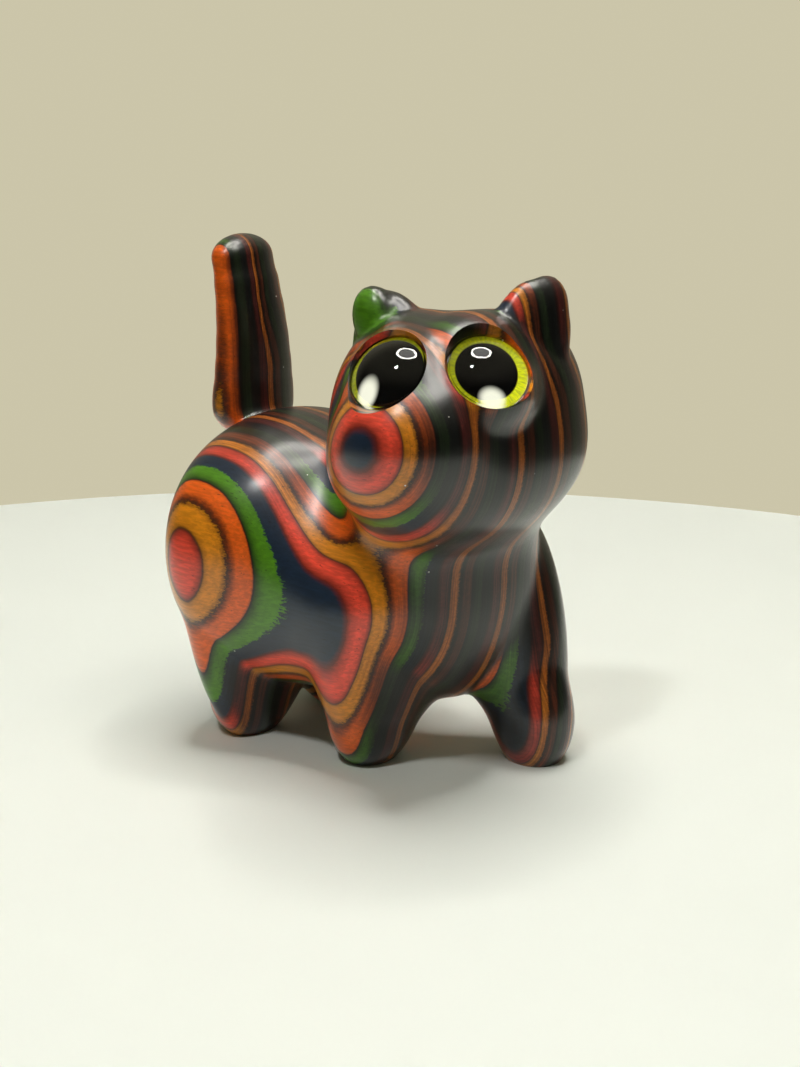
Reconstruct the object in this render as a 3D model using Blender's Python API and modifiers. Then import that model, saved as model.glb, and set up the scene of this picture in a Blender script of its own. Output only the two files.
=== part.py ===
"""Small carved cat figurine of laminated dyed wood with two glass cabochon eyes.

Metres, +Z up. The tail end points to +Y and the cat's right side to -X; its front half and its head
turn towards its right. The carving is made of soft rounded forms that flow into each other. Their
places and sizes are in carving units, which are shares of the figurine's height. The soles are then
cut flat and a socket is cut for each eye. The origin is on the ground, under the middle of the
carving's bounding box.
"""
import bpy
import bmesh
import math
from mathutils import Matrix, Vector

# Driving dimensions, in metres and degrees.
HEIGHT = 0.0703             # from the soles to the end of the tail
EYE_RADIUS = 0.0049         # glass cabochon
EYE_RIM = 0.0014            # height of the cabochon's upright rim
EYE_DOME = 0.0022           # height of its dome above the rim
EYE_GAP = 0.0003            # clearance between glass and wood
EYE_SINK = 0.0003           # how far the top of the rim lies below the carved surface
SOCKET_FLARE = 0.0018       # how far the socket opens outwards above the rim
SOCKET_FLARE_RISE = 0.0022  # over this height
RIGHT_EYE_FACES = (-84.0, 38.0)    # turn from straight ahead round the vertical, and tilt upwards
LEFT_EYE_FACES = (-31.0, 40.0)

# Carving units: places of things on the carving.
RIGHT_EYE_AT = (-15.6, -9.2, 57.1)
LEFT_EYE_AT = (-7.3, -19.0, 57.5)
HIND_MIDDLE = 1.0           # middle plane of the hind part
TAIL_ROOT = (4.0, 34.5, 45.5)
TAIL_END = (2.5, 34.5, 67.0)
TAIL_BOW = -1.0             # how far the middle of the tail bends forward
TAIL_ROOT_HALF = 4.4        # half thickness from front to back
TAIL_END_HALF = 3.3
TAIL_WIDENING = 1.8         # how much wider than thick it is
TAIL_TURN = 10.0            # turn of its flat side round the vertical
TAIL_FORMS = 7
UNITS_IN_HEIGHT = 70.3
SURFACE_STEP = 0.8          # fineness of the sampled surface
CARVING_TRIANGLES = 7200    # triangles kept in the carving before it is cut
TURNED_STEPS = 40           # segments round the eyes and their sockets
DOME_STEPS = 6

FIELD_THRESHOLD = 0.6       # level at which the forms' field becomes the surface
FORM_REACH = 10.0           # radius of each form, which its three sizes multiply
SOFT = 2.0                  # large forms that flow widely into their neighbours
FIRM = 4.0                  # limbs, ears and tail, which keep more of their own outline

UNIT = HEIGHT / UNITS_IN_HEIGHT


def clear_scene():
    for obj in list(bpy.data.objects):
        bpy.data.objects.remove(obj, do_unlink=True)


def collection(name, hidden=False):
    made = bpy.data.collections.new(name)
    made.hide_render = hidden
    bpy.context.scene.collection.children.link(made)
    return made


def material(name, colour, roughness, transmission=0.0):
    made = bpy.data.materials.new(name)
    made.use_nodes = True
    shader = made.node_tree.nodes["Principled BSDF"]
    shader.inputs["Base Color"].default_value = (*colour, 1.0)
    shader.inputs["Roughness"].default_value = roughness
    shader.inputs["Metallic"].default_value = 0.0
    shader.inputs["Transmission Weight"].default_value = transmission
    made.diffuse_color = (*colour, 1.0)
    return made


def turn_matrix(yaw=0.0, pitch=0.0, roll=0.0):
    return (Matrix.Rotation(math.radians(yaw), 3, "Z")
            @ Matrix.Rotation(math.radians(pitch), 3, "X")
            @ Matrix.Rotation(math.radians(roll), 3, "Y"))


def add_form(field, at, half, turn=(0.0, 0.0, 0.0), firmness=SOFT):
    """One rounded form: its middle, its half sizes when alone, its yaw, pitch and roll."""
    share = math.sqrt(1.0 - (FIELD_THRESHOLD / firmness) ** (1.0 / 3.0))
    element = field.elements.new(type="ELLIPSOID")
    element.co = at
    element.radius = FORM_REACH
    element.size_x = half[0] / share / FORM_REACH
    element.size_y = half[1] / share / FORM_REACH
    element.size_z = half[2] / share / FORM_REACH
    element.rotation = turn_matrix(*turn).to_quaternion()
    element.stiffness = firmness


def add_hind_pair(field, side, at, half, turn=(0.0, 0.0, 0.0), firmness=SOFT):
    """The same form on the right and left of the hind part's middle plane."""
    for sign in (-1.0, 1.0):
        middle = (HIND_MIDDLE + sign * side, at[0], at[1])
        add_form(field, middle, half, (sign * turn[0], turn[1], sign * turn[2]), firmness)


def carve_hind_part(field):
    # Haunches, hind legs and hind feet in mirrored pairs, and the rump between them.
    add_hind_pair(field, 7.0, (23.5, 27.5), (15.0, 10.5, 17.0), (-4, -2, 0))
    add_hind_pair(field, 8.5, (23.5, 12.5), (9.0, 4.5, 13.5), (0, -6, 0), FIRM)
    add_hind_pair(field, 9.5, (25.0, 4.5), (4.5, 4.5, 5.0), (0, 0, 0), FIRM)
    add_form(field, (HIND_MIDDLE, 14.5, 31.0), (15.5, 9.0, 13.0))


def carve_front_part(field):
    # Belly, chest and neck.
    add_form(field, (-3.0, 8.0, 21.5), (12.0, 18.0, 12.5), (-14, -20, 0))
    add_form(field, (5.5, -4.0, 25.5), (11.5, 10.0, 17.5), (-26, 6, 0))
    add_form(field, (-2.5, -8.0, 45.0), (10.5, 9.5, 9.5), (-38, 0, 0))
    # Right front leg and foot, left front leg and foot.
    add_form(field, (-4.5, 2.0, 13.0), (8.0, 6.0, 13.5), (0, 8, -8), FIRM)
    add_form(field, (-4.5, 3.0, 5.0), (5.5, 4.5, 5.5), (0, 0, 0), FIRM)
    add_form(field, (12.5, -10.0, 15.5), (6.0, 6.5, 16.5), (0, -14, 8), FIRM)
    add_form(field, (11.0, -14.0, 5.5), (4.9, 5.3, 7.0), (0, 0, 0), FIRM)


def carve_head(field):
    # Skull, chin, right and left cheek.
    add_form(field, (-4.5, -6.5, 48.5), (12.0, 15.0, 14.5), (-40, 0, -6))
    add_form(field, (-4.0, -11.0, 44.0), (14.5, 8.0, 7.5), (-22, 0, 0))
    add_form(field, (-13.0, -11.5, 48.5), (8.5, 7.0, 6.5))
    add_form(field, (5.0, -14.0, 49.0), (10.5, 7.5, 13.0))
    # Brow between the eyes, and the ridges that carry them.
    add_form(field, (-4.5, -14.5, 55.5), (5.5, 5.0, 6.0))
    add_form(field, (-13.0, -9.0, 54.5), (4.0, 5.0, 5.0))
    add_form(field, (-6.0, -17.5, 54.5), (5.0, 5.5, 4.0))
    # Ears, each a base and a tip.
    add_form(field, (-5.5, -0.8, 59.5), (4.2, 2.5, 5.0), (-88, 0, -4), FIRM)
    add_form(field, (-7.5, -0.1, 62.3), (2.6, 2.0, 3.2), (-88, 0, -4), FIRM)
    add_form(field, (4.1, -17.0, 61.3), (4.5, 2.0, 5.4), (-26, 0, -2), FIRM)
    add_form(field, (6.4, -17.0, 64.0), (2.5, 2.0, 3.0), (-26, 0, -2), FIRM)


def carve_tail(field):
    # Evenly spaced forms from the root, which spreads into the rump, to the rounded end.
    for step in range(TAIL_FORMS):
        along = step / (TAIL_FORMS - 1)
        bow = 4.0 * along * (1.0 - along)
        thick = TAIL_ROOT_HALF + (TAIL_END_HALF - TAIL_ROOT_HALF) * along
        middle = Vector(TAIL_ROOT).lerp(Vector(TAIL_END), along)
        middle.y += TAIL_BOW * bow
        half = (TAIL_WIDENING * thick, thick, thick)
        add_form(field, middle, half, (TAIL_TURN, 0, 0), FIRM)


def carving(name, home):
    field = bpy.data.metaballs.new(name + "_forms")
    field.resolution = SURFACE_STEP
    field.render_resolution = SURFACE_STEP
    field.threshold = FIELD_THRESHOLD
    holder = bpy.data.objects.new(name + "_forms", field)
    bpy.context.scene.collection.objects.link(holder)
    carve_hind_part(field)
    carve_front_part(field)
    carve_head(field)
    carve_tail(field)
    bpy.context.view_layer.update()
    evaluated = holder.evaluated_get(bpy.context.evaluated_depsgraph_get())
    mesh = bpy.data.meshes.new_from_object(evaluated)
    bpy.data.objects.remove(holder, do_unlink=True)
    bpy.data.metaballs.remove(field)
    mesh.name = name
    mesh.transform(Matrix.Scale(UNIT, 4))
    solid = bpy.data.objects.new(name, mesh)
    home.objects.link(solid)
    mesh.calc_loop_triangles()
    thin = solid.modifiers.new("keep the form with fewer faces", "DECIMATE")
    thin.ratio = min(1.0, CARVING_TRIANGLES / len(mesh.loop_triangles))
    thin.use_collapse_triangulate = True
    return solid


def turned(name, profile, home):
    """A closed turned solid about Z. The profile runs from the axis at the top to the axis below."""
    shape = bmesh.new()
    points = [shape.verts.new((radius, 0.0, height)) for radius, height in profile]
    for first, second in zip(points, points[1:]):
        shape.edges.new((first, second))
    mesh = bpy.data.meshes.new(name)
    shape.to_mesh(mesh)
    shape.free()
    solid = bpy.data.objects.new(name, mesh)
    home.objects.link(solid)
    screw = solid.modifiers.new("turned round its axis", "SCREW")
    screw.axis = "Z"
    screw.steps = TURNED_STEPS
    screw.render_steps = TURNED_STEPS
    screw.use_merge_vertices = True
    screw.merge_threshold = 0.00001
    screw.use_smooth_shade = True
    return solid


def eye_profile():
    """Flat underside at -EYE_RIM, upright rim up to 0, then a dome that is an arc of a circle."""
    sphere = (EYE_RADIUS ** 2 + EYE_DOME ** 2) / (2.0 * EYE_DOME)
    profile = []
    for step in range(DOME_STEPS + 1):
        radius = EYE_RADIUS * math.sin(0.5 * math.pi * step / DOME_STEPS)
        height = math.sqrt(sphere ** 2 - radius ** 2) - (sphere - EYE_DOME)
        profile.append((radius, height))
    profile.append((EYE_RADIUS, -EYE_RIM))
    profile.append((0.0, -EYE_RIM))
    return profile


def socket_profile():
    """A flat-bottomed seat for the eye with a gap round it, opening into a flare at the top."""
    seat = EYE_RADIUS + EYE_GAP
    wide = seat + SOCKET_FLARE
    top = SOCKET_FLARE_RISE + 2.0 * EYE_DOME
    return [(0.0, top), (wide + SOCKET_FLARE, top), (wide, SOCKET_FLARE_RISE), (seat, 0.0),
            (seat, -EYE_RIM - EYE_GAP), (0.0, -EYE_RIM - EYE_GAP)]


def facing(yaw, tilt):
    """Unit vector that looks straight ahead (-Y), turned round the vertical and tilted upwards."""
    yaw = math.radians(yaw)
    tilt = math.radians(tilt)
    return Vector((math.sin(yaw) * math.cos(tilt), -math.cos(yaw) * math.cos(tilt), math.sin(tilt)))


def set_on_face(obj, at, faces):
    """Turns the object's Z to the direction that the eye looks in, and sinks it into the surface."""
    look = facing(*faces)
    obj.rotation_euler = look.to_track_quat("Z", "Y").to_euler()
    obj.location = Vector(at) * UNIT - look * EYE_SINK


def cut(solid, cutter, label):
    cutter.display_type = "WIRE"
    cutter.hide_render = True
    boolean = solid.modifiers.new(label, "BOOLEAN")
    boolean.operation = "DIFFERENCE"
    boolean.solver = "EXACT"
    boolean.object = cutter


def sole_cutter(home):
    """A block whose top is the ground plane, wider than the carving."""
    bpy.ops.mesh.primitive_cube_add(size=1.0, location=(0.0, 0.0, 0.0))
    block = bpy.context.active_object
    block.name = "sole_cutter"
    block.scale = (2.0 * HEIGHT, 2.0 * HEIGHT, 0.5 * HEIGHT)
    block.location = (0.0, 0.0, -0.25 * HEIGHT)
    for owner in list(block.users_collection):
        owner.objects.unlink(block)
    home.objects.link(block)
    return block


def bounds_middle(obj):
    """Middle of the evaluated object's bounding box in plan."""
    bpy.context.view_layer.update()
    evaluated = obj.evaluated_get(bpy.context.evaluated_depsgraph_get())
    mesh = evaluated.to_mesh()
    xs = [vertex.co.x for vertex in mesh.vertices]
    ys = [vertex.co.y for vertex in mesh.vertices]
    middle = Vector((0.5 * (min(xs) + max(xs)), 0.5 * (min(ys) + max(ys)), 0.0))
    evaluated.to_mesh_clear()
    return middle


def main():
    clear_scene()
    parts = collection("cat_figurine")
    cutters = collection("cutters", hidden=True)

    body = carving("carved_body", parts)
    cut(body, sole_cutter(cutters), "flat soles")
    right_eye = turned("right_eye", eye_profile(), parts)
    left_eye = turned("left_eye", eye_profile(), parts)
    right_socket = turned("right_socket_cutter", socket_profile(), cutters)
    left_socket = turned("left_socket_cutter", socket_profile(), cutters)
    for obj in (right_eye, right_socket):
        set_on_face(obj, RIGHT_EYE_AT, RIGHT_EYE_FACES)
    for obj in (left_eye, left_socket):
        set_on_face(obj, LEFT_EYE_AT, LEFT_EYE_FACES)
    cut(body, right_socket, "right eye socket")
    cut(body, left_socket, "left eye socket")

    wood = material("lacquered_laminated_wood", (0.35, 0.15, 0.05), 0.22)
    glass = material("clear_glass", (0.95, 0.97, 0.90), 0.02, 1.0)
    body.data.materials.append(wood)
    right_eye.data.materials.append(glass)
    left_eye.data.materials.append(glass)
    for polygon in body.data.polygons:
        polygon.use_smooth = True

    # The whole figurine moves together until the origin is under its middle.
    middle = bounds_middle(body)
    for obj in (body, right_eye, left_eye, right_socket, left_socket):
        obj.location -= middle


if __name__ == "__main__":
    main()
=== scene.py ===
"""A small cat carved from a block of dyed wood layers, with two glass eyes, on a pale oval table."""
import math

import bmesh
import bpy
from bpy.props import FloatProperty, FloatVectorProperty, PointerProperty
from bpy.types import Operator, Panel, PropertyGroup
from mathutils import Matrix, Vector


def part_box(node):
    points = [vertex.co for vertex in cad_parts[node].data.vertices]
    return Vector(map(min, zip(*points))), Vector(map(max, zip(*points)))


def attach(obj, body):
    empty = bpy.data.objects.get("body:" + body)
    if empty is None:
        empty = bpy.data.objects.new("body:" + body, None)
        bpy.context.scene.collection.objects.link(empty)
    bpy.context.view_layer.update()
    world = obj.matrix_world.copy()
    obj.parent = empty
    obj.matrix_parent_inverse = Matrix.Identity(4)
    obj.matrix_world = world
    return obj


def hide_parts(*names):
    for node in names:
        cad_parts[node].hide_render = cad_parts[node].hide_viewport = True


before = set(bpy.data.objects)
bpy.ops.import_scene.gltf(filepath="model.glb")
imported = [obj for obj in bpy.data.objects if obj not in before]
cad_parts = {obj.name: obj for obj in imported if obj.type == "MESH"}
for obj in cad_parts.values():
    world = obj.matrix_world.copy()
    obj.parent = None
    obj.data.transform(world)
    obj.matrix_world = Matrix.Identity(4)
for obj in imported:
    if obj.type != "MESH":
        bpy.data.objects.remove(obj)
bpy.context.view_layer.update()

bl_info = {
    "name": "Laminated wood cat",
    "version": (1, 0, 0),
    "blender": (4, 5, 0),
    "location": "View3D > Sidebar > Wood cat",
    "description": "Carves, inlays and lights a small cat of laminated wood",
    "category": "Object",
}

MM = 0.001

# The forms of the carving are drawn in millimetres.
DRAWN_HEIGHT = 70.309
FIELD_THRESHOLD = 0.6       # level at which the forms' field becomes the surface
FORM_REACH = 10.0           # radius of each form, which its three sizes multiply
SOFT = 2.0                  # large forms that flow widely into their neighbours
FIRM = 4.0                  # limbs, ears and tail, which keep more of their own outline
HIND_MIDDLE = 1.0           # X of the hind part's middle plane
TAIL_ROOT = Vector((4.0, 34.5, 45.5))
TAIL_END = Vector((2.5, 34.5, 67.0))
TAIL_BOW = -1.0             # how far the middle of the tail bends forward
TAIL_ROOT_HALF = 4.4        # half thickness from front to back
TAIL_END_HALF = 3.3
TAIL_WIDENING = 1.8         # how much wider than thick it is
TAIL_TURN = 10.0            # turn of its flat side round the vertical
TAIL_FORMS = 7
TURNED_STEPS = 96           # segments round the eyes and their sockets
DOME_STEPS = 18
WOOD_CREASE = 38.0          # angle in degrees from which an edge stays sharp
GLASS_CREASE = 35.0

# The glass and the paint sealed in its back, in metres.
RIM_ROUNDING = 0.00008
DOME_EDGE = 0.00006         # how far the upright rim ends below the dome's edge
PAINT_SEAL = 0.00006        # glass left beside and behind the paint
PAINT_THICKNESS = 0.00014
PAINT_DISH = 0.0001         # how much the painted face rises from its middle to its edge

# Shares of an eye's radius, measured from its middle: where a painted pool of lamp light sits in the glass,
# the half width and half height of that painted pool, and the pupil's shift and growth. Then the direction
# and half width of the painted glint on the rim, in radians, and the painted glow's peak on the iris's
# brighter side.
RIGHT_LOOK = {"painted_pool": (-0.34, -0.52), "pool_half": (0.28, 0.50), "shift": 0.05, "growth": 1.17,
              "painted_glint": -1.9, "glint_half": 0.75, "bright": 0.55}
LEFT_LOOK = {"painted_pool": (-0.03, -0.64), "pool_half": (0.36, 0.38), "shift": -0.05, "growth": 1.0,
             "painted_glint": -0.55, "glint_half": 0.5, "bright": 1.25}

# Places of the table and the lamps, and the side that the wall is on.
TABLE_MIDDLE = (0.0116, 0.0139)
TABLE_TURN = 41.17
TABLE_THICKNESS = 0.012
RING_LAMP_AT = (0.045, -0.015, 0.52)
SMALL_LAMP_AT = (-0.235, -0.07, 0.42)
SHEEN_LAMP_AT = Vector((0.034, -0.187, 0.410))
BRIDGE_OF_FACE = Vector((-0.0045, -0.019, 0.052))
WALL_SIDE = (0.75, 0.66, 0.0)

# The camera of the photo: lens and sensor in millimetres, turns in degrees, the rest in metres.
CAMERA_LENS = 67.5
CAMERA_SENSOR = 36.0
CAMERA_AZIMUTH = -48.83
CAMERA_TILT = 14.68
CAMERA_ROLL = 0.27
CAMERA_DISTANCE = 0.20127
CAMERA_TARGET = Vector((-0.002303, -0.007781, 0.03233))


# Sizes and colours

def length(name, description, default):
    return FloatProperty(name=name, description=description, default=default, min=0.0, precision=5,
                         unit="LENGTH", subtype="DISTANCE")


def share(name, description, default):
    return FloatProperty(name=name, description=description, default=default, min=0.0, soft_max=1.0)


def number(name, description, default):
    return FloatProperty(name=name, description=description, default=default, min=0.0)


def colour(name, description, default):
    return FloatVectorProperty(name=name, description=description, default=default, size=3, min=0.0,
                               max=1.0, subtype="COLOR")


class CarvingSizes(PropertyGroup):
    """Sizes of the carved wood."""
    height: length("Height", "From the soles to the end of the tail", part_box("carved_body")[1][2])
    surface_step: length("Surface step", "Fineness of the carved surface", 0.00055)
    layer: length("Layer", "Thickness of one dyed layer", 0.0015)
    layer_start: number("Layer start", "Number of the layer at the middle plane", 14.7417)


class WoodColours(PropertyGroup):
    """Dyes of the wood layers, where the blade ran along the layers and where it cut their ends."""
    red: colour("Red", "Red layer", (0.92, 0.080, 0.040))
    yellow: colour("Yellow", "Yellow-orange layer", (0.72, 0.250, 0.008))
    orange: colour("Orange", "Orange layer", (0.80, 0.122, 0.006))
    green: colour("Green", "Green layer", (0.080, 0.250, 0.008))
    navy: colour("Navy", "Navy layer", (0.010, 0.022, 0.046))
    glue: colour("Glue line", "Dark line between two layers", (0.030, 0.010, 0.004))
    red_end: colour("Red, end grain", "Red layer cut across", (0.070, 0.012, 0.010))
    yellow_end: colour("Yellow, end grain", "Yellow layer cut across", (0.33, 0.090, 0.012))
    orange_end: colour("Orange, end grain", "Orange layer cut across", (0.055, 0.012, 0.004))
    green_end: colour("Green, end grain", "Green layer cut across", (0.009, 0.017, 0.006))
    navy_end: colour("Navy, end grain", "Navy layer cut across", (0.0035, 0.0040, 0.0042))
    glue_end: colour("Glue line, end grain", "Glue line cut across", (0.006, 0.003, 0.002))


class EyeSizes(PropertyGroup):
    """Sizes and colours of the glass eyes and their sockets."""
    radius: length("Radius", "Radius of the glass", 0.0049)
    rim: length("Rim", "Height of the upright rim", 0.0014)
    dome: length("Dome", "Height of the dome above the rim", 0.0022)
    gap: length("Gap", "Clearance between glass and wood", 0.0003)
    flare: length("Flare", "How far the socket opens outwards", 0.0018)
    flare_rise: length("Flare rise", "Height over which it opens", 0.0022)
    pupil: share("Pupil", "Pupil's share of the eye's radius", 0.68)
    iris_bright: colour("Iris", "Bright part of the iris", (0.60, 0.64, 0.008))
    iris_dark: colour("Iris edge", "Olive part of the iris", (0.17, 0.20, 0.03))


class StageSizes(PropertyGroup):
    """The table and the light round it."""
    table_width: length("Table half width", "Half the width of the oval table top", 0.176)
    table_depth: length("Table half depth", "Half the depth of the oval table top", 0.144)
    table: colour("Table", "Pale table top", (0.765, 0.815, 0.785))
    wall: colour("Wall", "Beige light of the room", (0.60, 0.56, 0.40))
    ring_radius: length("Ring lamp radius", "Radius of the ring lamp's middle line", 0.120)
    ring_thickness: length("Ring lamp tube", "Radius of the ring lamp's tube", 0.014)
    ring_glow: number("Ring lamp", "Brightness of the ring lamp", 33.5)
    panel_glow: number("Lamp panel", "Brightness of the panel inside the ring lamp", 2.4)
    small_lamp_radius: length("Small lamp radius", "Radius of the small lamp's bulb", 0.022)
    small_lamp_glow: number("Small lamp", "Brightness of the small lamp", 130.0)
    sheen_size: length("Sheen lamp size", "Width of the lamp that gives the face its sheen", 0.12)
    sheen_power: number("Sheen lamp", "Power of the lamp that gives the face its sheen", 0.5)


# Carving

def select_only(*objs):
    if bpy.context.mode != "OBJECT":
        bpy.ops.object.mode_set(mode="OBJECT")
    bpy.ops.object.select_all(action="DESELECT")
    for obj in objs:
        obj.select_set(True)
    bpy.context.view_layer.objects.active = objs[0] if objs else None


def turn_matrix(yaw=0.0, pitch=0.0, roll=0.0):
    return (Matrix.Rotation(math.radians(yaw), 3, "Z")
            @ Matrix.Rotation(math.radians(pitch), 3, "X")
            @ Matrix.Rotation(math.radians(roll), 3, "Y"))


def add_form(field, at, half, turn=(0.0, 0.0, 0.0), firmness=SOFT):
    """One rounded form: its middle, its half sizes when alone, its yaw, pitch and roll."""
    reach = math.sqrt(1.0 - (FIELD_THRESHOLD / firmness) ** (1.0 / 3.0))
    element = field.elements.new(type="ELLIPSOID")
    element.co = at
    element.radius = FORM_REACH
    element.size_x = half[0] / reach / FORM_REACH
    element.size_y = half[1] / reach / FORM_REACH
    element.size_z = half[2] / reach / FORM_REACH
    element.rotation = turn_matrix(*turn).to_quaternion()
    element.stiffness = firmness


def add_hind_pair(field, side, at, half, turn=(0.0, 0.0, 0.0), firmness=SOFT):
    for sign in (-1.0, 1.0):
        add_form(field, (HIND_MIDDLE + sign * side, at[0], at[1]), half,
                 (sign * turn[0], turn[1], sign * turn[2]), firmness)


def shape_hind_part(field):
    add_hind_pair(field, 7.0, (23.5, 27.5), (15.0, 10.5, 17.0), (-4, -2, 0))
    add_hind_pair(field, 8.5, (23.5, 12.5), (9.0, 4.5, 13.5), (0, -6, 0), FIRM)
    add_hind_pair(field, 9.5, (25.0, 4.5), (4.5, 4.5, 5.0), (0, 0, 0), FIRM)
    add_form(field, (HIND_MIDDLE, 14.5, 31.0), (15.5, 9.0, 13.0))


def shape_front_part(field):
    # Belly, chest and neck, then the right and the left front leg with its foot.
    add_form(field, (-3.0, 8.0, 21.5), (12.0, 18.0, 12.5), (-14, -20, 0))
    add_form(field, (5.5, -4.0, 25.5), (11.5, 10.0, 17.5), (-26, 6, 0))
    add_form(field, (-2.5, -8.0, 45.0), (10.5, 9.5, 9.5), (-38, 0, 0))
    add_form(field, (-4.5, 2.0, 13.0), (8.0, 6.0, 13.5), (0, 8, -8), FIRM)
    add_form(field, (-4.5, 3.0, 5.0), (5.5, 4.5, 5.5), (0, 0, 0), FIRM)
    add_form(field, (12.5, -10.0, 15.5), (6.0, 6.5, 16.5), (0, -14, 8), FIRM)
    add_form(field, (11.0, -14.0, 5.5), (4.9, 5.3, 7.0), (0, 0, 0), FIRM)


def shape_head(field):
    # Skull, chin, right and left cheek, brow, the ridges that carry the eyes, and the ears.
    add_form(field, (-4.5, -6.5, 48.5), (12.0, 15.0, 14.5), (-40, 0, -6))
    add_form(field, (-4.0, -11.0, 44.0), (14.5, 8.0, 7.5), (-22, 0, 0))
    add_form(field, (-13.0, -11.5, 48.5), (8.5, 7.0, 6.5))
    add_form(field, (5.0, -14.0, 49.0), (10.5, 7.5, 13.0))
    add_form(field, (-4.5, -14.5, 55.5), (5.5, 5.0, 6.0))
    add_form(field, (-13.0, -9.0, 54.5), (4.0, 5.0, 5.0))
    add_form(field, (-6.0, -17.5, 54.5), (5.0, 5.5, 4.0))
    add_form(field, (-5.5, -0.8, 59.5), (4.2, 2.5, 5.0), (-88, 0, -4), FIRM)
    add_form(field, (-7.5, -0.1, 62.3), (2.6, 2.0, 3.2), (-88, 0, -4), FIRM)
    add_form(field, (4.1, -17.0, 61.3), (4.5, 2.0, 5.4), (-26, 0, -2), FIRM)
    add_form(field, (6.4, -17.0, 64.0), (2.5, 2.0, 3.0), (-26, 0, -2), FIRM)


def shape_tail(field):
    for step in range(TAIL_FORMS):
        along = step / (TAIL_FORMS - 1)
        thick = TAIL_ROOT_HALF + (TAIL_END_HALF - TAIL_ROOT_HALF) * along
        middle = TAIL_ROOT.lerp(TAIL_END, along)
        middle.y += 4.0 * along * (1.0 - along) * TAIL_BOW
        add_form(field, middle, (TAIL_WIDENING * thick, thick, thick), (TAIL_TURN, 0, 0), FIRM)


def turned(name, profile):
    """A closed turned solid about Z from (radius, height) pairs, the first and last on the axis."""
    radius, level = profile[1]
    bpy.ops.mesh.primitive_circle_add(vertices=TURNED_STEPS, radius=radius, fill_type="NOTHING",
                                      location=(0.0, 0.0, level))
    solid = bpy.context.active_object
    solid.name = name
    bpy.ops.object.transform_apply(location=True, rotation=True, scale=True)
    bpy.ops.object.mode_set(mode="EDIT")
    bpy.ops.mesh.select_all(action="SELECT")
    bpy.ops.mesh.extrude_edges_move()
    bpy.ops.transform.translate(value=(0.0, 0.0, profile[0][1] - level))
    bpy.ops.mesh.merge(type="CENTER")
    close_mesh()
    for radius_next, level_next in profile[2:-1]:
        select_ring(solid, radius, level)
        bpy.ops.mesh.extrude_edges_move()
        bpy.ops.transform.translate(value=(0.0, 0.0, level_next - level))
        grow = radius_next / radius
        bpy.ops.transform.resize(value=(grow, grow, 1.0), center_override=(0.0, 0.0, level_next))
        radius, level = radius_next, level_next
    select_ring(solid, radius, level)
    bpy.ops.mesh.extrude_edges_move()
    bpy.ops.transform.translate(value=(0.0, 0.0, profile[-1][1] - level))
    bpy.ops.mesh.merge(type="CENTER")
    close_mesh()
    bpy.ops.object.mode_set(mode="OBJECT")
    return solid


def close_mesh():
    bpy.ops.mesh.select_all(action="SELECT")
    bpy.ops.mesh.remove_doubles(threshold=1e-7)
    bpy.ops.mesh.normals_make_consistent(inside=False)


def select_ring(solid, radius, level):
    """Selects the open edge ring of that radius and height."""
    shape = bmesh.from_edit_mesh(solid.data)
    for part in (shape.faces, shape.edges, shape.verts):
        for piece in part:
            piece.select = False
    for edge in shape.edges:
        if all(abs(end.co.z - level) < 1e-7 and abs(math.hypot(end.co.x, end.co.y) - radius) < 1e-6
               for end in edge.verts):
            edge.select_set(True)
    shape.select_flush_mode()
    bmesh.update_edit_mesh(solid.data)


def eye_seat(node, sizes):
    """Where an eye sits: a matrix with Z out of the face, its origin at the top of the glass's rim."""
    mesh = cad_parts[node].data
    points = [vertex.co.copy() for vertex in mesh.vertices]
    middle = sum(points, Vector()) / len(points)
    # The glass's flat back is the largest area that faces one way.
    areas = {}
    for polygon in mesh.polygons:
        key = tuple(round(part, 2) for part in polygon.normal)
        areas[key] = areas.get(key, 0.0) + polygon.area
    back = Vector(max(areas, key=areas.get)).normalized()
    backwards = [polygon.normal for polygon in mesh.polygons if polygon.normal.dot(back) > 0.999]
    look = -(sum(backwards, Vector()) / len(backwards)).normalized()
    lowest = min(point.dot(look) for point in points)
    seat = [point for point in points if point.dot(look) < lowest + 0.2 * sizes.rim]
    centre = sum(seat, Vector()) / len(seat)
    centre = centre + look * (lowest - centre.dot(look) + sizes.rim)
    if (middle - centre).dot(look) < -sizes.rim:
        raise RuntimeError(node + " doesn't look outwards")
    matrix = look.to_track_quat("Z", "Y").to_matrix().to_4x4()
    matrix.translation = centre
    return matrix


def place(solid, matrix):
    select_only(solid)
    solid.matrix_world = matrix
    bpy.ops.object.transform_apply(location=True, rotation=True, scale=True)


def apply_all(solid):
    select_only(solid)
    for modifier in list(solid.modifiers):
        bpy.ops.object.modifier_apply(modifier=modifier.name)


def carved_surface(sizes):
    """The carving's outer surface, made of the field of all its forms."""
    select_only()
    bpy.ops.object.metaball_add(type="ELLIPSOID", location=(0.0, 0.0, 0.0))
    holder = bpy.context.active_object
    field = holder.data
    field.elements.clear()
    step = sizes.surface_step / MM * 1.0
    field.resolution = step
    field.render_resolution = step
    field.threshold = FIELD_THRESHOLD
    shape_hind_part(field)
    shape_front_part(field)
    shape_head(field)
    shape_tail(field)
    unit = sizes.height / DRAWN_HEIGHT
    holder.scale = (unit, unit, unit)
    bpy.context.view_layer.update()
    select_only(holder)
    bpy.ops.object.convert(target="MESH")
    body = bpy.context.active_object
    body.name = "laminated_carving"
    bpy.ops.object.transform_apply(location=True, rotation=True, scale=True)
    even = body.modifiers.new("even the surface", "SMOOTH")
    even.factor = 0.5
    even.iterations = 2
    apply_all(body)
    return body


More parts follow.
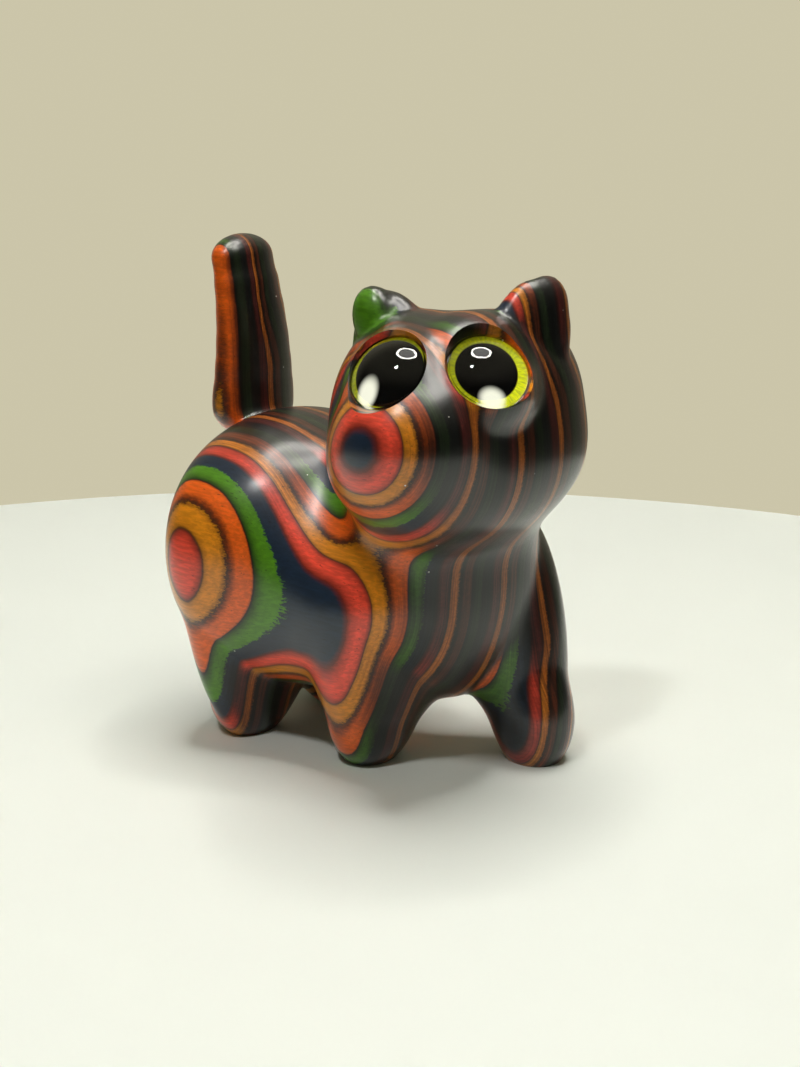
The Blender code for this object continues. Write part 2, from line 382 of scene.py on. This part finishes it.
def cut_soles_flat():
    """Cuts the active carving at the ground and closes the cut."""
    bpy.ops.object.mode_set(mode="EDIT")
    bpy.ops.mesh.select_all(action="SELECT")
    bpy.ops.mesh.bisect(plane_co=(0.0, 0.0, 0.0), plane_no=(0.0, 0.0, 1.0), clear_inner=True,
                        use_fill=True, threshold=0.000001)
    bpy.ops.mesh.select_all(action="SELECT")
    bpy.ops.mesh.remove_doubles(threshold=1e-7)
    bpy.ops.mesh.quads_convert_to_tris()
    bpy.ops.mesh.normals_make_consistent(inside=False)
    bpy.ops.object.mode_set(mode="OBJECT")


def fit_under(body, node):
    """Moves the carving to the middle of the CAD node's box and keeps it within the box."""
    low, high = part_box(node)
    spans = [[vertex.co[axis] for vertex in body.data.vertices] for axis in range(3)]
    fit = [min(1.0, (high[axis] - low[axis]) / (max(span) - min(span))) for axis, span in enumerate(spans)]
    shift = [0.5 * (low[axis] + high[axis]) - 0.5 * fit[axis] * (min(spans[axis]) + max(spans[axis]))
             for axis in range(2)]
    place(body, Matrix.Translation((*shift, 0.0)) @ Matrix.Diagonal((*fit, 1.0)))


def cut_sockets(body, eyes):
    """Cuts a socket for each eye, which opens outwards above the glass's rim."""
    seat = eyes.radius + eyes.gap
    wide = seat + eyes.flare
    top = eyes.flare_rise + 2.0 * eyes.dome
    profile = [(0.0, top), (wide + eyes.flare, top), (wide, eyes.flare_rise), (seat, 0.0),
               (seat, -eyes.rim - eyes.gap), (0.0, -eyes.rim - eyes.gap)]
    for node in ("right_eye", "left_eye"):
        select_only()
        cutter = turned(node + "_cutter", profile)
        place(cutter, eye_seat(node, eyes))
        socket = body.modifiers.new(node + " socket", "BOOLEAN")
        socket.operation = "DIFFERENCE"
        socket.solver = "EXACT"
        socket.object = cutter
        apply_all(body)
        bpy.data.objects.remove(cutter, do_unlink=True)


class CARVING_OT_cat(Operator):
    """Carve the cat from flowing rounded forms, cut its soles flat and cut a socket for each eye"""
    bl_idname = "wood_cat.carve"
    bl_label = "Carve the cat"

    def execute(self, context):
        body = carved_surface(context.scene.cat_carving)
        cut_soles_flat()
        fit_under(body, "carved_body")
        cut_sockets(body, context.scene.cat_eyes)
        select_only(body)
        bpy.ops.object.shade_smooth_by_angle(angle=math.radians(WOOD_CREASE))
        body.data.materials.clear()
        body.data.materials.append(laminated_wood(context))
        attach(body, "root")
        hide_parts("carved_body")
        return {"FINISHED"}


def glass_dome(node, eyes):
    """A dome on an upright rim, with a flat back."""
    sphere = (eyes.radius ** 2 + eyes.dome ** 2) / (2.0 * eyes.dome)
    profile = [(0.0, eyes.dome)]
    for step in range(1, DOME_STEPS + 1):
        radius = 0.998 * eyes.radius * math.sin(0.5 * math.pi * step / DOME_STEPS)
        profile.append((radius, math.sqrt(sphere ** 2 - radius ** 2) - (sphere - eyes.dome)))
    profile += [(eyes.radius, -DOME_EDGE), (eyes.radius, -eyes.rim + RIM_ROUNDING),
                (eyes.radius - RIM_ROUNDING, -eyes.rim), (0.0, -eyes.rim)]
    return turned(node.replace("_eye", "_glass_dome"), profile)


def painted_back(node, eyes):
    """A thin dished disc inside the glass, just above its flat back."""
    outer = eyes.radius - PAINT_SEAL
    level = -eyes.rim + PAINT_SEAL
    profile = [(radius, level + PAINT_THICKNESS + PAINT_DISH * (radius / outer) ** 2)
               for radius in (0.0, 0.5 * outer, eyes.pupil * outer, 0.97 * outer)]
    profile += [(outer, level + 0.00015), (outer, level + 0.00003), (0.0, level)]
    return turned(node.replace("_eye", "_painted_iris"), profile)


class EYES_OT_glass(Operator):
    """Set a clear glass dome in each socket, with the painted iris and pupil sealed in its back"""
    bl_idname = "wood_cat.glass_eyes"
    bl_label = "Set the glass eyes"

    def execute(self, context):
        eyes = context.scene.cat_eyes
        glass = clear_glass()
        for node in ("right_eye", "left_eye"):
            select_only()
            dome = glass_dome(node, eyes)
            place(dome, eye_seat(node, eyes))
            bpy.ops.object.shade_smooth_by_angle(angle=math.radians(GLASS_CREASE))
            dome.data.materials.append(glass)
            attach(dome, "root")
            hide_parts(node)

            select_only()
            iris = painted_back(node, eyes)
            place(iris, eye_seat(node, eyes))
            bpy.ops.object.shade_smooth_by_angle(angle=math.radians(GLASS_CREASE))
            iris.data.materials.append(painted_iris(context, node))
            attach(iris, "root")
        return {"FINISHED"}


# Materials

class Wire:
    """One value in a material. Python's arithmetic on it adds the nodes."""

    def __init__(self, mix, socket):
        self.mix = mix
        self.socket = socket

    def maths(self, operation, *values):
        return self.mix.node("ShaderNodeMath", {"operation": operation}, dict(enumerate(values)))

    def __add__(self, other):
        return self.maths("ADD", self, other)

    __radd__ = __add__

    def __sub__(self, other):
        return self.maths("SUBTRACT", self, other)

    def __rsub__(self, other):
        return self.maths("SUBTRACT", other, self)

    def __mul__(self, other):
        return self.maths("MULTIPLY", self, other)

    __rmul__ = __mul__

    def __truediv__(self, other):
        return self.maths("DIVIDE", self, other)

    def __abs__(self):
        return self.maths("ABSOLUTE", self)

    def wrap(self, span):
        return self.maths("WRAP", self, span, 0.0)

    def atan2(self, other):
        return self.maths("ARCTAN2", self, other)

    def root(self):
        return self.maths("SQRT", self)

    def most(self, other):
        return self.maths("MAXIMUM", self, other)


class Mixture:
    """Nodes being added to a tree."""

    def __init__(self, tree):
        self.tree = tree

    def node(self, kind, settings=None, sockets=None, out=0):
        """Any node: its settings first, then the values or links of its sockets."""
        made = self.tree.nodes.new(kind)
        for name, value in (settings or {}).items():
            if name == "stops":
                ramp = made.color_ramp
                while len(ramp.elements) > 1:
                    ramp.elements.remove(ramp.elements[-1])
                for number, (place_at, tone) in enumerate(value):
                    stop = ramp.elements[0] if number == 0 else ramp.elements.new(place_at)
                    stop.position = place_at
                    stop.color = (*tone, 1.0) if hasattr(tone, "__len__") else (tone, tone, tone, 1.0)
            else:
                setattr(made, name, value)
        for key, value in (sockets or {}).items():
            if isinstance(value, Wire):
                self.tree.links.new(value.socket, made.inputs[key])
            elif hasattr(value, "__len__") and len(value) == 3 and made.inputs[key].type == "RGBA":
                made.inputs[key].default_value = (*value, 1.0)
            else:
                made.inputs[key].default_value = value
        return Wire(self, made.outputs[out])

    def part(self, vector, axis):
        return self.node("ShaderNodeSeparateXYZ", {}, {0: vector}, axis)

    def blend(self, factor, low, high):
        return self.node("ShaderNodeMix", {"data_type": "RGBA"}, {0: factor, 6: low, 7: high}, 2)

    def scaled(self, vector, by):
        return self.node("ShaderNodeVectorMath", {"operation": "MULTIPLY"}, {0: vector, 1: by})

    def noise(self, vector, scale, detail=2.0, rough=0.5):
        return self.node("ShaderNodeTexNoise", {"noise_dimensions": "3D"},
                         {"Vector": vector, "Scale": scale, "Detail": detail, "Roughness": rough})

    def smooth(self, value, low, high, to_low=0.0, to_high=1.0):
        return self.node("ShaderNodeMapRange", {"interpolation_type": "SMOOTHSTEP"},
                         {"Value": value, "From Min": low, "From Max": high, "To Min": to_low,
                          "To Max": to_high})

    def ramp(self, value, stops):
        return self.node("ShaderNodeValToRGB", {"stops": stops}, {"Fac": value})


class Finish(Mixture):
    """A material being mixed from nodes, with its main shader."""

    def __init__(self, name):
        self.material = bpy.data.materials.new(name)
        self.material.use_nodes = True
        super().__init__(self.material.node_tree)
        self.shader = self.tree.nodes["Principled BSDF"]

    def feed(self, socket, value):
        if isinstance(value, Wire):
            self.tree.links.new(value.socket, self.shader.inputs[socket])
        elif hasattr(value, "__len__") and len(value) == 3:
            self.shader.inputs[socket].default_value = (*value, 1.0)
        else:
            self.shader.inputs[socket].default_value = value


def layer_stops(red, yellow, orange, green, navy, glue, line):
    """One turn of the five layers, as stops of a ramp, with dark lines between the bright ones."""
    def tone(base, factor):
        return tuple(part * factor for part in base)
    return [
        (0.000, tone(red, 0.22)), (0.030, tone(red, 0.62)), (0.085, red), (0.155, tone(red, 0.85)),
        (0.182, tone(red, 0.42)), (0.198, tone(glue, 1.8)), (0.208 + line, tone(yellow, 0.70)),
        (0.240, yellow), (0.325, tone(yellow, 0.95)), (0.362 - 2.5 * line, tone(yellow, 0.45)),
        (0.372 - line, tone(glue, 1.2)), (0.402, tone(orange, 0.20)), (0.425 + line, tone(orange, 0.50)),
        (0.455, tone(orange, 0.92)), (0.510, orange), (0.582, tone(orange, 0.96)),
        (0.595 - line, tone(orange, 0.60)), (0.599, tone(glue, 0.4)), (0.606, tone(glue, 0.4)),
        (0.614 + line, tone(green, 0.18)), (0.655, tone(green, 0.60)), (0.700, tone(green, 0.95)),
        (0.792, green), (0.804, navy), (0.900, navy), (0.965, tone(navy, 1.1)), (0.999, tone(red, 0.18)),
    ]


def layer_number(wood, millimetres, sizes):
    """The layer's number at each point, and how much the layers bend there towards the left front sole."""
    # The edges of each region are millimetres across, in depth and in height.
    across, depth, height = (wood.part(millimetres, axis) for axis in range(3))
    number = across / (sizes.layer / MM) + sizes.layer_start
    bend = (wood.smooth(height, 3.0, 19.0, 1.0, 0.0) * wood.smooth(across, 1.5, 5.0)
            * wood.smooth(depth, -15.5, -12.0, 1.0, 0.0))
    number = number + bend * (1.2 + 0.8 * (number - 18.5))
    # The right ear is cut from the middle of one green layer, and the layers lean towards the left ear.
    ear = (wood.smooth(height, 56.0, 59.5) * wood.smooth(across, -6.5, -4.0, 1.0, 0.0)
           * wood.smooth(depth, -14.0, -11.5))
    number = number + ear * 0.65 * (8.60 - number)
    number = number + 2.0 * wood.smooth(height, 51.0, 62.0) * wood.smooth(across, -1.5, 3.5)
    return number, bend


def laminated_wood(context):
    """Dyed layers at right angles to X, their fibres along Y, under clear lacquer."""
    dye = context.scene.wood_colours
    wood = Finish("laminated_dyed_wood")
    millimetres = wood.scaled(wood.node("ShaderNodeTexCoord", out=3), (1000.0, 1000.0, 1000.0))

    def fibrous(shrink, scale, detail, rough=0.5):
        return wood.noise(wood.scaled(millimetres, (1.0, shrink, 1.0)), scale, detail, rough)

    fibres = fibrous(0.16, 3.2, 3.0, 0.6)
    tufts = fibrous(0.30, 3.4, 3.0, 0.7)
    slow = wood.noise(millimetres, 0.16, 1.0)

    number, bend = layer_number(wood, millimetres, context.scene.cat_carving)
    waved = number + (slow - 0.5) * 0.16 + (fibres - 0.5) * 0.05
    turn = (waved / 5.0).wrap(1.0)
    ragged = wood.ramp(turn, [(0.0, 0.15), (0.10, 0.0), (0.30, 0.0), (0.37, 1.0), (0.43, 0.5), (0.50, 0.0),
                              (0.70, 0.1), (0.77, 1.0), (0.86, 0.9), (0.95, 0.1)])
    frayed = (turn + (tufts - 0.5) * ragged * 0.14).wrap(1.0)

    # The dyes show where the blade ran along the layers, and darken where it cut their ends.
    flat = wood.ramp(frayed, layer_stops(dye.red[:], dye.yellow[:], dye.orange[:], dye.green[:],
                                         dye.navy[:], dye.glue[:], 0.0015))
    ends = wood.ramp(frayed, layer_stops(dye.red_end[:], dye.yellow_end[:], dye.orange_end[:],
                                         dye.green_end[:], dye.navy_end[:], dye.glue_end[:], 0.010))
    normal = wood.node("ShaderNodeNewGeometry", out=1)
    facing = abs(wood.part(normal, 0)) + 0.22 * abs(wood.part(normal, 2))
    shown = wood.smooth(facing, 0.52, 0.90) * (1.0 - 0.75 * bend)
    base = wood.blend(shown, ends, flat)

    # Fibres, open pores and thin stripes along the layers.
    streaks = wood.smooth(fibrous(0.12, 2.6, 3.0, 0.6), 0.35, 0.68, 0.80, 1.10)
    pores = wood.smooth(fibrous(0.10, 4.2, 1.0), 0.235, 0.30, 0.45, 1.0)
    thin = wood.noise(wood.scaled(millimetres, (5.5, 0.05, 0.05)), 1.0, 2.0, 0.7)
    stripes = 1.0 + (wood.smooth(thin, 0.30, 0.72, 0.45, 1.55) - 1.0) * (1.0 - shown)
    grain = streaks * pores * stripes
    tinted = wood.node("ShaderNodeVectorMath", {"operation": "SCALE"}, {0: base, "Scale": grain})

    # A few specks of dust in the lacquer.
    specks = wood.node("ShaderNodeTexVoronoi", {"feature": "F1"},
                       {"Vector": millimetres, "Scale": 0.22, "Randomness": 1.0})
    dust = wood.smooth(specks, 0.020, 0.032, 1.0, 0.0)

    wood.feed("Base Color", wood.blend(dust, tinted, (0.75, 0.75, 0.70)))
    wood.feed("Roughness", wood.smooth(fibres, 0.3, 0.7, 0.32, 0.45))
    wood.feed("Specular IOR Level", 0.15)
    wood.feed("Coat Weight", 1.0)
    wood.feed("Coat Roughness", 0.28)
    wood.feed("Coat IOR", 1.5)
    bump = wood.node("ShaderNodeBump", {}, {"Strength": 0.25, "Distance": 0.00006, "Height": grain})
    wood.feed("Normal", bump)
    return wood.material


def clear_glass():
    glass = Finish("clear_polished_glass")
    glass.feed("Base Color", (0.97, 0.98, 0.95))
    glass.feed("Roughness", 0.015)
    glass.feed("IOR", 1.5)
    glass.feed("Transmission Weight", 1.0)
    return glass.material


def painted_iris(context, node):
    """A black pupil in a yellow-green ring with fine rays, on the back of the glass, and painted light on
    it.
    """
    eyes = context.scene.cat_eyes
    look = RIGHT_LOOK if node == "right_eye" else LEFT_LOOK
    seat = eye_seat(node, eyes)
    paint = Finish(node.replace("_eye", "_iris_paint_and_painted_glow"))
    centred = paint.node("ShaderNodeMapping", {"vector_type": "TEXTURE"},
                         {"Vector": paint.node("ShaderNodeTexCoord", out=3), "Location": seat.translation,
                          "Rotation": seat.to_euler()})
    x = paint.part(centred, 0) / eyes.radius
    y = paint.part(centred, 1) / eyes.radius
    radius = (x * x + y * y).root()
    angle = y.atan2(x)

    spokes = paint.node("ShaderNodeCombineXYZ", {}, {0: angle * 9.0, 1: radius * 2.0, 2: 0.0})
    rays = paint.noise(spokes, 1.4, 3.0, 0.6)
    streaked = paint.blend(paint.smooth(rays, 0.3, 0.7, 0.0, 0.55), eyes.iris_bright[:], eyes.iris_dark[:])
    ringed = paint.blend(paint.smooth(radius, 0.93, 0.985), streaked, eyes.iris_dark[:])
    edge = ((x - look["shift"]) * (x - look["shift"]) + y * y).root() + (rays - 0.5) * 0.02
    pupil = eyes.pupil * look["growth"]
    whole = paint.blend(paint.smooth(edge, pupil - 0.015, pupil + 0.02), (0.002, 0.002, 0.002), ringed)

    # Painted light: a pool of lamp light below the pupil and a glint along its rim, painted in as glow.
    u = (x - look["painted_pool"][0]) / look["pool_half"][0]
    v = (y - look["painted_pool"][1]) / look["pool_half"][1]
    painted_pool = paint.smooth(u * u + v * v, 0.15, 1.0, 1.0, 0.0)
    # Painted glint: a white glow along part of the rim of the glass.
    painted_glint = (paint.smooth(abs(angle - look["painted_glint"]), 0.35, look["glint_half"], 1.0, 0.0)
             * paint.smooth(radius, 0.90, 0.95))
    # Painted light: the whole iris glows, brighter towards one side as if lit from there.
    side = paint.smooth(x - 0.5 * y, -0.5, 1.0, 0.18, look["bright"])
    glow = paint.node("ShaderNodeVectorMath", {"operation": "SCALE"}, {0: whole, "Scale": side * 0.75})

    paint.feed("Base Color", whole)
    paint.feed("Emission Color", paint.blend(painted_pool.most(painted_glint), glow, (1.0, 1.0, 0.82)))
    paint.feed("Emission Strength", 1.0)
    paint.feed("Roughness", 0.4)
    paint.feed("Specular IOR Level", 0.0)
    return paint.material


def plain(name, tone, roughness, mottle, scale):
    """A plain matt surface with faint unevenness."""
    surface = Finish(name)
    place_at = surface.node("ShaderNodeTexCoord", out=3)
    cloud = surface.noise(place_at, scale, 3.0)
    darker = tuple(part * (1.0 - mottle) for part in tone)
    surface.feed("Base Color", surface.blend(surface.smooth(cloud, 0.3, 0.7), darker, tone))
    surface.feed("Roughness", roughness)
    return surface.material


def glowing(name, tone, strength):
    glow = Finish(name)
    glow.feed("Base Color", (0.0, 0.0, 0.0))
    glow.feed("Emission Color", tone)
    glow.feed("Emission Strength", strength)
    return glow.material


# Stage

def set_table(stage):
    select_only()
    bpy.ops.mesh.primitive_cylinder_add(vertices=160, radius=1.0, depth=TABLE_THICKNESS,
                                        location=(*TABLE_MIDDLE, -0.5 * TABLE_THICKNESS))
    table = bpy.context.active_object
    table.name = "table_top"
    table.scale = (stage.table_depth, stage.table_width, 1.0)
    table.rotation_euler = (0.0, 0.0, math.radians(TABLE_TURN))
    bpy.ops.object.transform_apply(location=True, rotation=True, scale=True)
    bevel = table.modifiers.new("round edge", "BEVEL")
    bevel.width = 0.002
    bevel.segments = 3
    apply_all(table)
    table.data.materials.append(plain("pale_table", stage.table, 0.55, 0.03, 9.0))


def hang_lamp(name, tone, strength):
    """Finishes the primitive that was just added as a glowing lamp."""
    lamp = bpy.context.active_object
    lamp.name = name
    bpy.ops.object.transform_apply(location=True, rotation=True, scale=True)
    lamp.data.materials.append(glowing(name + "_glow", tone, strength))


def hang_lamps(stage):
    select_only()
    bpy.ops.mesh.primitive_torus_add(major_segments=96, minor_segments=12, major_radius=stage.ring_radius,
                                     minor_radius=stage.ring_thickness, location=RING_LAMP_AT)
    hang_lamp("ring_lamp", (1.0, 0.96, 0.89), stage.ring_glow)
    select_only()
    bpy.ops.mesh.primitive_uv_sphere_add(segments=24, ring_count=12, radius=stage.small_lamp_radius,
                                         location=SMALL_LAMP_AT)
    hang_lamp("small_lamp", (1.0, 0.98, 0.94), stage.small_lamp_glow)
    select_only()
    bpy.ops.mesh.primitive_circle_add(vertices=96, radius=stage.ring_radius - 0.004, fill_type="TRIFAN",
                                      location=(*RING_LAMP_AT[:2], RING_LAMP_AT[2] + 0.004))
    hang_lamp("lamp_panel", (1.0, 0.98, 0.92), stage.panel_glow)


def hang_sheen_lamp(stage):
    """A soft lamp whose sheen falls on the lacquer alone."""
    lacquered = bpy.data.collections.new("lacquered")
    lacquered.objects.link(bpy.data.objects["laminated_carving"])
    bpy.ops.object.light_add(type="AREA", location=SHEEN_LAMP_AT)
    sheen = bpy.context.active_object
    sheen.name = "sheen_lamp"
    sheen.data.shape = "DISK"
    sheen.data.size = stage.sheen_size
    sheen.data.energy = stage.sheen_power
    sheen.data.color = (1.0, 0.98, 0.91)
    sheen.rotation_euler = (BRIDGE_OF_FACE - SHEEN_LAMP_AT).to_track_quat("-Z", "Y").to_euler()
    sheen.visible_diffuse = False
    sheen.light_linking.receiver_collection = lacquered


def light_room(stage):
    """The wall's colour in the picture. Elsewhere light from above and, weaker, from the wall's side."""
    world = bpy.data.worlds.new("soft room light")
    world.use_nodes = True
    back = world.node_tree.nodes["Background"]
    back.inputs["Color"].default_value = (*stage.wall, 1.0)
    room = Mixture(world.node_tree)
    towards = room.node("ShaderNodeTexCoord")
    above = room.smooth(room.part(towards, 2), 0.15, 0.85, 0.03, 0.40)
    to_wall = room.node("ShaderNodeVectorMath", {"operation": "DOT_PRODUCT"}, {0: towards, 1: WALL_SIDE}, 1)
    beside = room.smooth(to_wall, 0.25, 0.85, 0.0, 0.35)
    seen = room.node("ShaderNodeLightPath")
    level = room.node("ShaderNodeMix", {}, {0: seen, 2: above + beside, 3: 1.0})
    world.node_tree.links.new(level.socket, back.inputs["Strength"])
    bpy.context.scene.world = world


def set_camera():
    bpy.ops.object.camera_add(location=(0.0, 0.0, 0.0))
    camera = bpy.context.active_object
    camera.name = "photo_camera"
    camera.data.lens = CAMERA_LENS
    camera.data.sensor_width = CAMERA_SENSOR
    camera.data.sensor_fit = "HORIZONTAL"
    camera.data.clip_start = 0.001
    camera.data.clip_end = 10.0
    azimuth, tilt, roll = (math.radians(turn) for turn in (CAMERA_AZIMUTH, CAMERA_TILT, CAMERA_ROLL))
    towards = Vector((math.sin(azimuth) * math.cos(tilt), -math.cos(azimuth) * math.cos(tilt),
                      math.sin(tilt)))
    right = Vector((0.0, 0.0, 1.0)).cross(towards).normalized()
    up = towards.cross(right)
    side = right * math.cos(roll) + up * math.sin(roll)
    top = up * math.cos(roll) - right * math.sin(roll)
    matrix = Matrix((side, top, towards)).transposed().to_4x4()
    matrix.translation = CAMERA_TARGET + towards * CAMERA_DISTANCE
    camera.matrix_world = matrix
    bpy.context.scene.camera = camera


class STAGE_OT_table(Operator):
    """Set the pale oval table, the lamps and the camera"""
    bl_idname = "wood_cat.stage"
    bl_label = "Set the stage"

    def execute(self, context):
        stage = context.scene.cat_stage
        set_table(stage)
        hang_lamps(stage)
        hang_sheen_lamp(stage)
        light_room(stage)
        context.scene.view_settings.view_transform = "Standard"
        context.scene.cycles.caustics_reflective = False
        set_camera()
        return {"FINISHED"}


class CAT_PT_steps(Panel):
    """The steps of making the cat, in order"""
    bl_idname = "CAT_PT_steps"
    bl_label = "Laminated wood cat"
    bl_space_type = "VIEW_3D"
    bl_region_type = "UI"
    bl_category = "Wood cat"

    def draw(self, context):
        for group in (context.scene.cat_carving, context.scene.wood_colours, context.scene.cat_eyes,
                      context.scene.cat_stage):
            for name in group.bl_rna.properties.keys():
                if name not in ("rna_type", "name"):
                    self.layout.prop(group, name)
        for step in STEPS:
            self.layout.operator(step.bl_idname)


STEPS = (CARVING_OT_cat, EYES_OT_glass, STAGE_OT_table)
GROUPS = {"cat_carving": CarvingSizes, "wood_colours": WoodColours, "cat_eyes": EyeSizes,
          "cat_stage": StageSizes}


def register():
    for made in (*GROUPS.values(), *STEPS, CAT_PT_steps):
        bpy.utils.register_class(made)
    for name, group in GROUPS.items():
        setattr(bpy.types.Scene, name, PointerProperty(type=group))


def unregister():
    for name in GROUPS:
        delattr(bpy.types.Scene, name)
    for made in (CAT_PT_steps, *reversed(STEPS), *reversed(list(GROUPS.values()))):
        bpy.utils.unregister_class(made)


def main():
    register()
    bpy.ops.wood_cat.carve()
    bpy.ops.wood_cat.glass_eyes()
    bpy.ops.wood_cat.stage()


if __name__ == "__main__":
    main()
